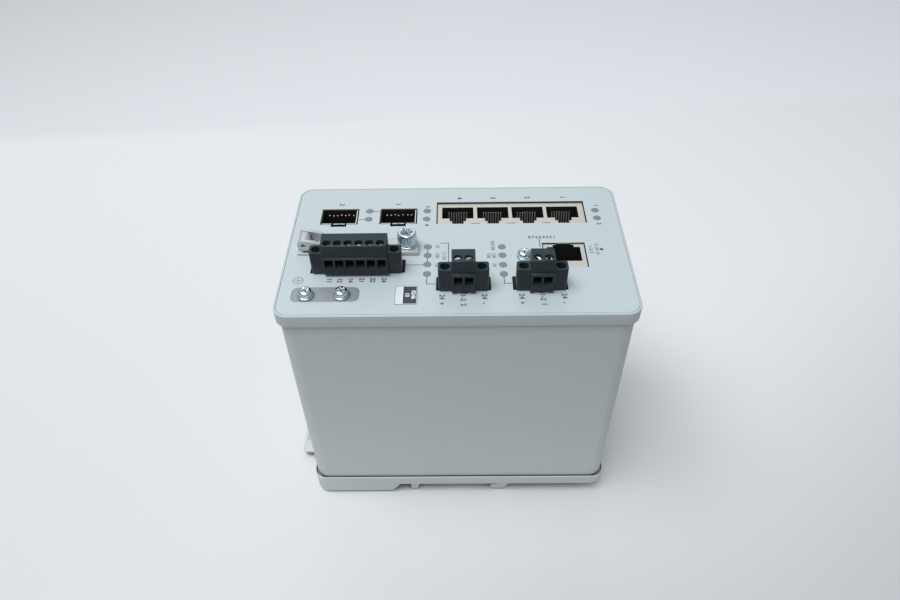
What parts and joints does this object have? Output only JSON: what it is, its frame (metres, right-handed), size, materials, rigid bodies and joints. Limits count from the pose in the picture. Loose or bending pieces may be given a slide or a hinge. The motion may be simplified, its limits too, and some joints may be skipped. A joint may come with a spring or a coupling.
{
  "type": "din rail ethernet switch",
  "caption": "Compact metal DIN rail network switch with modular jacks, module slots, screw-terminal plugs, status lamps, a hinged card door and a sprung rail latch.",
  "frame": {"origin": "centre of the rail seat, on the flat face that bears on a 35 mm rail", "axes": "+Z out of the rail towards the front panel, +X towards the end that is uppermost on an upright rail, +Y towards the device's left side"},
  "size_m": [0.1386, 0.075, 0.1309],
  "materials": {
    "body_paint": "satin fine-textured light grey paint",
    "bezel_paint": "satin light grey paint",
    "tray_metal": "satin light grey paint",
    "panel_film": "satin printed polyester film, pale blue-grey",
    "sticker": "satin",
    "latch_steel": "zinc plated sheet",
    "spring_steel": "bright spring wire",
    "zinc_screw": "bright zinc plate",
    "bare_metal": "bare satin metal",
    "terminal_plastic": "satin black moulding",
    "pin_metal": "tinned",
    "jack_shield": "tinned sheet, warm grey",
    "jack_plastic": "satin black moulding",
    "door_metal": "satin clear coat",
    "lamp_lens": "satin translucent grey",
    "button_plastic": "satin",
    "circuit_board": "solder mask",
    "component": "satin",
    "frame_metal": "mill finish"
  },
  "bodies": {
    "housing": {"alarm_flange_screws": "zinc_screw", "alarm_header": "terminal_plastic", "alarm_plug": "terminal_plastic", "alarm_screws": "zinc_screw", "board_frame": "frame_metal", "button_board": "circuit_board", "button_switch": "jack_plastic", "console_contacts": "spring_steel", "console_insert": "jack_plastic", "console_shield": "jack_shield", "front_bezel": "bezel_paint", "front_overlay": "panel_film", "ground_plate": "bare_metal", "ground_screws": "zinc_screw", "ground_washers": "zinc_screw", "header_pins": "pin_metal", "heat_spreader": "frame_metal", "housing_shell": "body_paint", "io_board": "circuit_board", "io_board_posts": "frame_metal", "jack_gaskets": "jack_plastic", "latch_guides": "latch_steel", "latch_spring": "spring_steel", "light_pipes": "lamp_lens", "main_board": "circuit_board", "panel_sticker": "sticker", "port_contacts": "spring_steel", "port_insert": "jack_plastic", "port_shield": "jack_shield", "power_a_flange_screws": "zinc_screw", "power_a_header": "terminal_plastic", "power_a_plug": "terminal_plastic", "power_a_screws": "zinc_screw", "power_b_flange_screws": "zinc_screw", "power_b_header": "terminal_plastic", "power_b_plug": "terminal_plastic", "power_b_screws": "zinc_screw", "power_board": "circuit_board", "power_capacitors": "component", "power_transformers": "component", "rear_tray": "tray_metal", "screw_socket": "bare_metal", "sd_hinge_base": "door_metal", "sd_hinge_pin": "bare_metal", "sd_socket": "jack_plastic", "sfp_cage_1": "jack_shield", "sfp_cage_2": "jack_shield", "sfp_sockets": "jack_plastic", "switch_chip": "component", "terminal_board": "circuit_board", "tray_posts": "frame_metal", "tray_screws": "zinc_screw", "usb_screw": "zinc_screw", "usb_screw_washer": "zinc_screw", "usb_shell": "jack_shield", "usb_tongue": "jack_plastic"},
    "din_latch": {"din_latch": "latch_steel"},
    "sd_door": {"sd_door": "door_metal"},
    "thumbscrew": {"thumbscrew": "zinc_screw"},
    "setup_button": {"setup_button": "button_plastic"}
  },
  "joints": [
    {"name": "din_latch_pull", "type": "slide", "parent": "housing", "child": "din_latch", "axis": [-1, 0, 0], "range_m": [0, 0.004], "stiffness_N_per_m": 700, "springref_m": -0.004, "deforming": ["latch_spring"]},
    {"name": "sd_door_hinge", "type": "hinge", "parent": "housing", "child": "sd_door", "pos_m": [-0.0575, -0.00145, 0.1146], "axis": [0, -1, 0], "range_deg": [0, 110]},
    {"name": "thumbscrew_turn", "type": "hinge", "parent": "sd_door", "child": "thumbscrew", "pos_m": [-0.0187, -0.0016, 0.1146], "axis": [0, 0, 1], "continuous": true},
    {"name": "setup_button_press", "type": "slide", "parent": "housing", "child": "setup_button", "axis": [0, 0, -1], "range_m": [0, 0.0005], "stiffness_N_per_m": 400, "springref_m": -0.001}
  ]
}
